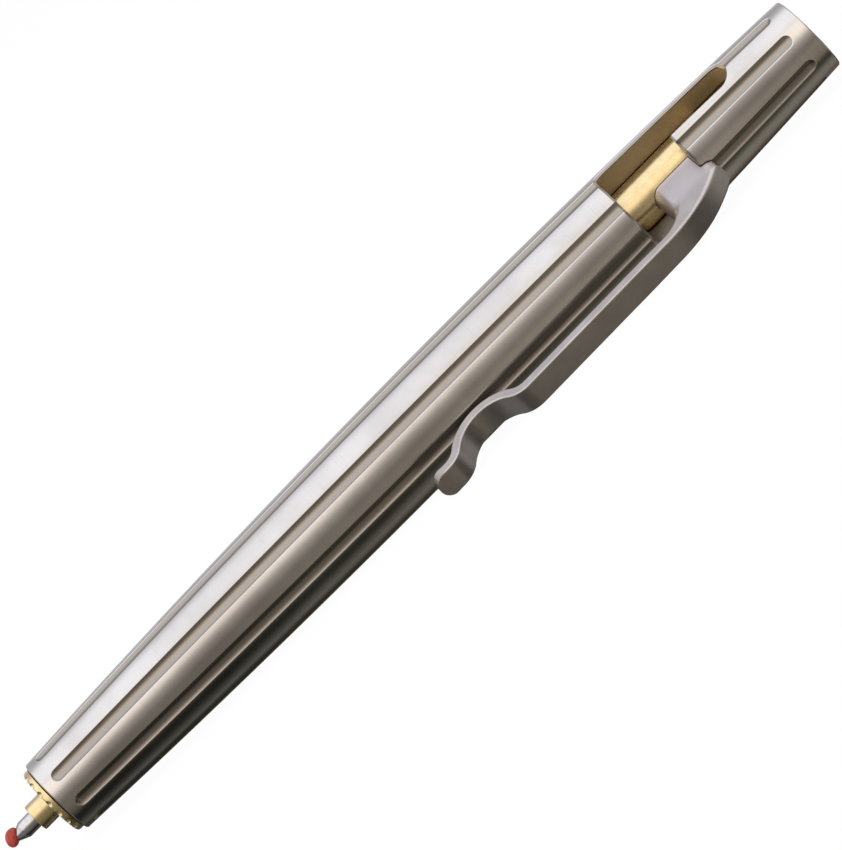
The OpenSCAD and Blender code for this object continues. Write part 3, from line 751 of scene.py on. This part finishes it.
def clip_layer(y, far_side):
    """The clip's outline at a distance y from its middle. The root and the tang's front are rounds about an
    upright axis, so they move back as y grows. Only the tang's far corner is round."""
    rear, back = clip_rear - set_back(y, head_corner), tang_rear - far_side * set_back(y, tang_corner)
    under, over = clip_sides(clip_tip + set_back(y, strip_half), rear)
    round_middle = tang_front + strip_half
    front = tang_front + set_back(y, strip_half)
    sweep = np.radians(np.linspace(90, 0, 18))
    root_height = strip_inner - root_radius + root_radius * np.sin(sweep)
    root_reach = strip_half + root_radius - root_radius * np.cos(sweep)
    root = as_rows(round_middle - np.sqrt(np.maximum(root_reach**2 - y**2, 0)), root_height)
    underside = np.sqrt(head_under**2 - y**2)
    tang = chain(
        (front, strip_inner - root_radius), ((front, tang_bottom), 16), ((back, tang_bottom), 8),
        ((back, underside), 14), ((rear, underside), 1), ((rear, over[0, 1]), 4),
    )
    return np.concatenate([under, root, tang[1:], over])


def inward(loop, amount):
    """A closed loop moved inwards by an amount, along the mean direction of its two sides at each point."""
    ahead = np.roll(loop, -1, axis=0) - loop
    ahead /= np.maximum(np.linalg.norm(ahead, axis=1), 1e-9)[:, None]
    both = ahead + np.roll(ahead, 1, axis=0)
    both /= np.maximum(np.linalg.norm(both, axis=1), 1e-9)[:, None]
    return loop + amount * as_rows(-both[:, 1], both[:, 0])


def clip_slice(side, flat, bend, edge):
    """One slice of the clip, on one side of its middle: in its width's flat share, then round an edge."""
    y = (strip_half - edge) * flat + edge * np.sin(bend)
    loop = inward(clip_layer(y, side > 0), edge * (1 - np.cos(bend)))
    return as_rows(loop[:, 1], np.full(len(loop), side * y), loop[:, 0])


flat_steps = [(np.sin(turn), 0.0) for turn in np.radians(np.linspace(0, 90, 17))]
edge_steps = [(1.0, bend) for bend in np.radians([15, 30, 45, 60, 75, 90])]
steps = [(-1, flat, bend) for flat, bend in (flat_steps + edge_steps)[:0:-1]]
steps += [(1, flat, bend) for flat, bend in flat_steps + edge_steps]
# The tang's edges are nearly sharp, and the others grow rounder to the head and its rear
place, height = clip_layer(0, True).T
above_tang = np.maximum(height - head_under, 2 * (place - tang_rear))
off_tang = np.clip(above_tang / edge_fade, 0, 1)[:, None]
near_head = np.interp(place, (head_edge_from, head_edge_full), (0, 1))[:, None]
near_rear = np.interp(place, (rear_edge_from, rear_edge_full), (0, 1))[:, None]
slices = []
for step in steps:
    tang_slice, body_slice = clip_slice(*step, tang_edge), clip_slice(*step, strip_edge)
    body_slice += (clip_slice(*step, head_edge) - body_slice) * near_head
    body_slice += (clip_slice(*step, rear_edge) - body_slice) * near_rear
    slices.append(tang_slice + (body_slice - tang_slice) * off_tang)
clip = Shell()
clip.grid(np.stack(slices), wrap=True)
clip.cap(slices[0])
clip.cap(slices[-1])

blasted = Paint("blasted_titanium")
pits = blasted.noise(7000, 3.0, 0.65)
cloudy = blasted.noise(260, 4.0, 0.6)
worn_and_painted_light = blasted.mixed(cloudy.step(0.35, 0.7), (0.43, 0.395, 0.38), (0.49, 0.455, 0.44))
worn_and_painted_light = blasted.mixed(pits.step(0.5, 0.75) * 0.3, worn_and_painted_light, (0.32, 0.3, 0.285))
# The tang's two sides are painted lighter, a painted light that lifts the shade they get beside the barrel
# and in the window, and it fades out into the strip
head_place, _, sideways, head_radial = pen_place(blasted)
at_side = (sideways * sideways).step(1.7**2, 1.8**2)
painted_tang_light = at_side * (1.0 - head_radial.step(7, 9.5))
worn_and_painted_light = blasted.mixed(painted_tang_light, worn_and_painted_light, (0.56, 0.515, 0.525))
# The head's underside and its lower rim, behind the tang and close over the barrel, are painted nearly
# black: a painted contact shadow over the barrel
behind_tang = head_place.step(tang_rear - half_length, tang_rear + 0.2 - half_length)
painted_contact_shadow = (1.0 - head_radial.step(head_under + 0.1, head_under + 0.35)) * behind_tang
worn_and_painted_light = blasted.mixed(painted_contact_shadow, worn_and_painted_light, (0.03, 0.028, 0.026))
blasted_titanium = blasted.surface(
    Base_Color=worn_and_painted_light, Metallic=0.94, Roughness=0.32 + (pits - 0.5) * 0.2 + (cloudy - 0.5) * 0.1,
    Normal=blasted.bump(pits, 0.00003, 0.35),
)
clip_piece = clip.piece("clip_bolt", blasted_titanium, "bolt", crease=40)
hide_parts("clip")

# Plunger: a brass bar turned to two guide lands, with a milled pocket for the clip's tang and a hole for
# the set screw that holds it. It slides and turns in the bore, which leaves fine scratches round it.
plunger_front, plunger_rear = 90.3, 117.0
land_radius, body_radius = 3.4, 3.28
land_front_end, land_rear_start = 95.3, 113.4
plunger_edge, land_edge = 0.3, 0.08
pocket_half, pocket_floor = 1.92, -1.23
screw_hole_radius, hole_end = 1.5, 107.05
turn_angles = np.linspace(-np.pi, np.pi, 97)[:-1]
pocket_rows, pocket_span = np.linspace(103, land_rear_start - 0.3, 22), np.radians([-60, 60])
plunger = Shell()
plunger.lathe([
    (screw_hole_radius, hole_end), (screw_hole_radius, plunger_front),
    (land_radius - plunger_edge, plunger_front), (land_radius, plunger_front + plunger_edge),
    (land_radius, land_front_end - land_edge), (land_radius - land_edge, land_front_end),
    *[(body_radius, z) for z in (land_front_end, 97, 99, 101, pocket_rows[0])],
], turn_angles)
plunger.lathe([
    (body_radius, pocket_rows[-1]), (body_radius, land_rear_start),
    (land_radius - land_edge, land_rear_start), (land_radius, land_rear_start + land_edge),
    (land_radius, plunger_rear - plunger_edge), (land_radius - plunger_edge, plunger_rear),
    (1.5, plunger_rear), (0, plunger_rear),
], turn_angles)
plunger.lathe([(screw_hole_radius, hole_end), (0.8, hole_end), (0, hole_end)], turn_angles)
pocket_centre = tang_front + strip_half
pocket_corner, near_corner = tang_corner + 0.03, 0.1
corner_side, corner_place = pocket_half - pocket_corner, tang_rear - tang_corner
pocket_rear = corner_place + pocket_corner
near_side, near_place = near_corner - pocket_half, pocket_rear - near_corner
pocket = np.concatenate([
    arc((0, pocket_centre), pocket_half, -180, 0, 36),
    line((pocket_half, pocket_centre), (pocket_half, corner_place), 14),
    arc((corner_side, corner_place), pocket_corner, 0, 90, 8),
    line((corner_side, pocket_rear), (near_side, pocket_rear), 12),
    arc((near_side, near_place), near_corner, 90, 180, 3),
    line((-pocket_half, near_place), (-pocket_half, pocket_centre), 18),
])
pocket_angle = np.arcsin(pocket[:, 0] / body_radius)
plunger_grid = round_axis_at(body_radius, turn_angles[None], pocket_rows[:, None])
left, right = np.searchsorted(turn_angles, pocket_span)
wrapped_grid(plunger, plunger_grid, (0, len(pocket_rows) - 1, left, right))
pocket_columns, pocket_edge = turn_angles[left:right + 1], (pocket_angle, pocket[:, 1])
add_pierced(plunger, pocket_columns, pocket_rows[:, None], pocket_edge, body_radius, space=0.12)
pocket_top = round_axis_at(body_radius, pocket_angle, pocket[:, 1])
pocket_base = as_rows(np.full(len(pocket), pocket_floor), pocket[:, 0], pocket[:, 1])
pocket_wall = [pocket_top + (pocket_base - pocket_top) * share for share in (0, 0.33, 0.67, 1)]
plunger.grid(np.stack(pocket_wall), wrap=True)
plunger.cap(pocket_base)

# Brass that hands and sliding have marked: cloudy tarnish, fine scratches and small spots under a clear coat
brass_paint = Paint("brass")
dull_brass, bright_brass = (0.63, 0.48, 0.21), (0.7, 0.565, 0.28)
scratches = brass_paint.noise(1.0, 3.0, 0.6, brass_paint.stretched((3800, 260, 260)))
tarnish = brass_paint.noise(900, 4.0, 0.6)
spots = brass_paint.noise(5200, 2.0, 0.5)
brass_tone = brass_paint.mixed(tarnish.step(0.35, 0.7), dull_brass, bright_brass)
spot_tone = tuple(0.6 * part for part in dull_brass)
brass = brass_paint.surface(
    Base_Color=brass_paint.mixed(spots.step(0.62, 0.75) * 0.25, brass_tone, spot_tone), Metallic=0.95,
    Roughness=0.25 + (scratches - 0.5) * 0.15 + (tarnish - 0.5) * 0.12,
    Normal=brass_paint.bump(scratches * 0.6 + spots * 0.4, 0.00001, 0.3),
    Coat_Weight=1.0, Coat_Roughness=0.25, Coat_IOR=1.9,
)
plunger_piece = plunger.piece("plunger_bar", brass, "bolt")
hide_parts("plunger")

# Nose cap: turned brass that screws into the barrel. Its flange has small scallops round the front edge
# for the fingers, and its nozzle guides the refill's tip.
flange_back, flange_front, nozzle_front = -0.15, -1.1, -3.8
flange_radius, nozzle_radius, nozzle_bore = 4.95, 1.95, 1.26
spigot_radius, spigot_rear, cap_bore, spring_seat = 3.75, 5.6, 3.07, 0.3
neck_radius, neck_rear = 3.63, 0.55
flange_round, flange_break, cap_round = 0.42, 0.06, 0.12
nozzle_round, nozzle_chamfer = 0.2, 0.1
scallop_count, scallop_radius, scallop_shift, scallop_offset = 18, 0.55, 0.05, np.radians(4.5)
scallop_turn = 2 * np.pi / scallop_count

cap_profile = np.concatenate([
    chain(
        (nozzle_bore, spring_seat), ((nozzle_bore, nozzle_front + nozzle_chamfer), 6),
        ((nozzle_bore + nozzle_chamfer, nozzle_front), 2), ((nozzle_radius - nozzle_round, nozzle_front), 3),
    ),
    arc((nozzle_radius - nozzle_round, nozzle_front + nozzle_round), nozzle_round, -90, 0, 5),
    line((nozzle_radius, nozzle_front + nozzle_round), (nozzle_radius, flange_front - cap_round), 10),
    arc((nozzle_radius + cap_round, flange_front - cap_round), cap_round, 180, 90, 4),
    chain(
        (nozzle_radius + cap_round, flange_front), ((flange_radius - 0.8, flange_front), 10),
        ((flange_radius - flange_round, flange_front), 8),
    ),
    arc((flange_radius - flange_round, flange_front + flange_round), flange_round, -90, 0, 14),
    chain(
        (flange_radius, flange_front + flange_round), ((flange_radius, flange_front + 0.7), 6),
        ((flange_radius, flange_back - flange_break), 3), ((flange_radius - flange_break, flange_back), 1),
        ((neck_radius, flange_back), 2), ((neck_radius, neck_rear), 1),
        ((spigot_radius, neck_rear + cap_round), 1), ((spigot_radius, spigot_rear), 4),
        ((cap_bore, spigot_rear), 1), ((cap_bore, spring_seat), 2), ((nozzle_bore, spring_seat), 1),
    ),
    [(nozzle_bore, spring_seat)],
])
scallop_angles = scallop_offset + np.arange(scallop_count * 18) * scallop_turn / 18
cap_points = turned(cap_profile, scallop_angles)
nearest = scallop_offset + np.round((scallop_angles - scallop_offset) / scallop_turn) * scallop_turn
ball_centres = round_axis_at(flange_radius + scallop_shift, nearest, flange_front - scallop_shift)[None]
offset = cap_points - ball_centres
distance = np.linalg.norm(offset, axis=-1, keepdims=True)
# A point inside a scallop's ball moves out to the ball's surface
on_ball = ball_centres + offset * scallop_radius / distance
cap_points = np.where(distance < scallop_radius, on_ball, cap_points)
cap = Shell()
cap.grid(cap_points, wrap=True)
cap_piece = cap.piece("nose_cap_turned", brass, "barrel", crease=28)
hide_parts("nose_cap")

# Refill: a pressurised ink tube of plated steel with a drawn tip, a tungsten ball and a plastic plug. The
# tip and its neck are turned from bright steel, the part of it that shows in front of the nozzle.
ball_front, ball_radius, tip_radius, tip_cone = -7.7, 0.5, 1.2, 1.9
shoulder, neck_half, neck_length = 8.3, 1.5, 3.0
tip_angles = np.linspace(0, 2 * np.pi, 65)[:-1]
tip_cone_profile = [
    (0, 2 * ball_radius), (0.3, 0.93), (0.46, 0.72), (0.51, 0.5), (0.5, 0.47), (0.53, 0.46), (0.6, 0.62),
    (1.12, tip_cone - 0.12), (1.18, tip_cone), (tip_radius, tip_cone + 0.12),
]
tip_profile = [(radius, ball_front + z) for radius, z in tip_cone_profile] + [
    (tip_radius, -4), (tip_radius, 0), (tip_radius, shoulder - neck_length),
    (neck_half, shoulder - neck_length), (neck_half, shoulder + neck_length), (0, shoulder + neck_length),
]
tip = Shell()
tip.lathe(tip_profile, tip_angles)
steel = Paint("refill_steel")
drawn = steel.noise(1.0, 3.0, 0.6, steel.stretched((6000, 300, 300)))
dulled = steel.noise(1500, 3.0, 0.6)
refill_steel = steel.surface(
    Base_Color=steel.mixed(dulled.step(0.35, 0.7), (0.5, 0.5, 0.51), (0.6, 0.6, 0.61)), Metallic=1.0,
    Roughness=0.2 + (drawn - 0.5) * 0.2, Normal=steel.bump(drawn, 0.000008, 0.4),
)
tip_piece = tip.piece("refill_tip_turned", refill_steel, "refill", crease=25)
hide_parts("refill_tip")

# Wax drop over the ball of a new refill, dipped a little to one side, where it climbs the tip's cone. It
# is a ball with a faint three-sided swell, stretched to that side and cut off at the tip's surface.
seal_radius, seal_place, seal_turn = 1.02, -7.57, np.radians(-125)
seal_shift, seal_lean, seal_climb = 0.3, 0.25, 0.5
seal_swell, seal_stretch, seal_flatten = 0.03, 0.08, 0.06
cone_radii = [0, 0.25, 0.45, 0.55, 1.2]
cone_places = ball_front + np.array([-0.02, 0.04, 0.28, 0.48, 1.88])
sphere_up = np.linspace(0, np.pi, 49)[:, None]
sphere_round = np.linspace(0, 2 * np.pi, 73)[None, :-1]
ball = round_axis_at(np.sin(sphere_up), sphere_round, np.cos(sphere_up))
swell = 1 + seal_swell * np.sin(3 * sphere_round + 1) * np.sin(sphere_up) ** 2
drop = ball * seal_radius * swell[..., None]
seal_side = np.array([np.cos(seal_turn), np.sin(seal_turn), 0])
drop[..., 2] *= 1 + seal_climb * np.clip(drop @ seal_side, 0, 1) * (drop[..., 2] > 0)
drop[..., 2] *= 1 - seal_flatten
drop += (drop @ seal_side)[..., None] * (seal_side * seal_stretch + [0, 0, seal_lean])
drop += seal_side * seal_shift + [0, 0, seal_place]
tip_surface = np.interp(np.hypot(drop[..., 0], drop[..., 1]), cone_radii, cone_places)
drop[..., 2] = np.minimum(drop[..., 2], tip_surface)
seal = Shell()
seal.grid(drop, wrap=True)
wax = Paint("seal_wax")
lumps = wax.noise(2600, 3.0, 0.5)
seal_wax = wax.surface(
    Base_Color=wax.mixed(lumps.step(0.3, 0.7), (0.2, 0.016, 0.011), (0.31, 0.031, 0.021)),
    Roughness=0.38 + (lumps - 0.5) * 0.2, Normal=wax.bump(lumps, 0.00005, 0.4),
)
seal_piece = seal.piece("tip_seal_drop", seal_wax, "refill", crease=50)
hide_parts("tip_seal")

# Refill spring: hard-drawn wire between the nose cap's seat and the refill's shoulder, squeezed in the real
# pen as the refill goes forward.
# Here it is one fixed coil, tied to neither the barrel nor the refill.
wire_radius, coil_radius, coil_turns = 0.2, 1.95, 8
coil_from, coil_to = spring_seat + wire_radius, shoulder - wire_radius
coil_share = np.linspace(0, 1, coil_turns * 40 + 1)[:, None]
coil_turn = 2 * np.pi * coil_turns * coil_share
wire_turn = np.linspace(0, 2 * np.pi, 13)[:-1][None]
wire_reach = coil_radius + wire_radius * np.cos(wire_turn)
wire_place = coil_from + (coil_to - coil_from) * coil_share + wire_radius * np.sin(wire_turn)
wire = round_axis_at(wire_reach, coil_turn, wire_place)
spring = Shell()
spring.grid(wire, wrap=True)
spring.cap(wire[0])
spring.cap(wire[-1])


def plain_metal(name, scale, dark, pale, rough, vary, relief):
    """Plain hard metal, whose colour, roughness and relief follow one fine noise."""
    paint = Paint(name)
    grain = paint.noise(scale, 3.0, 0.6)
    return paint.surface(
        Base_Color=paint.mixed(grain, dark, pale), Metallic=1.0, Roughness=rough + (grain - 0.5) * vary,
        Normal=paint.bump(grain, relief, 0.4),
    )


spring_steel = plain_metal("spring_steel", 3000, (0.42, 0.42, 0.43), (0.62, 0.62, 0.62), 0.28, 0.2, 0.00001)
spring_piece = spring.piece("refill_spring_coil", spring_steel)
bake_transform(spring_piece)
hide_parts("refill_spring")


# The pieces that stay inside keep their solids: the refill's tube, plug and ball, the rubber ring behind
# the flange, and the set screw in the plunger.
def dress(node, material):
    """Gives a carried-over solid its material."""
    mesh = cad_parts[node].data
    mesh.materials.clear()
    mesh.materials.append(material)


def moulded(name, dark, pale, rough):
    """Moulded plastic or rubber: a faint flow pattern and a fine skin."""
    paint = Paint(name)
    flow = paint.noise(1400, 3.0, 0.5)
    return paint.surface(
        Base_Color=paint.mixed(flow, dark, pale), Roughness=rough + (flow - 0.5) * 0.15,
        Normal=paint.bump(paint.noise(9000, 2.0), 0.00001, 0.4),
    )


dress("refill_tube", refill_steel)
dress("refill_plug", moulded("refill_plastic", (0.02, 0.02, 0.024), (0.04, 0.04, 0.045), 0.45))
dress("nose_seal_ring", moulded("black_rubber", (0.012, 0.012, 0.012), (0.022, 0.021, 0.02), 0.6))
carbide_colours = (0.35, 0.35, 0.36), (0.45, 0.45, 0.46)
oxide_colours = (0.06, 0.06, 0.065), (0.12, 0.12, 0.125)
dress("refill_ball", plain_metal("ball_carbide", 6000, *carbide_colours, 0.12, 0.15, 0.000006))
dress("tang_screw", plain_metal("black_oxide_steel", 6000, *oxide_colours, 0.35, 0.15, 0.000006))
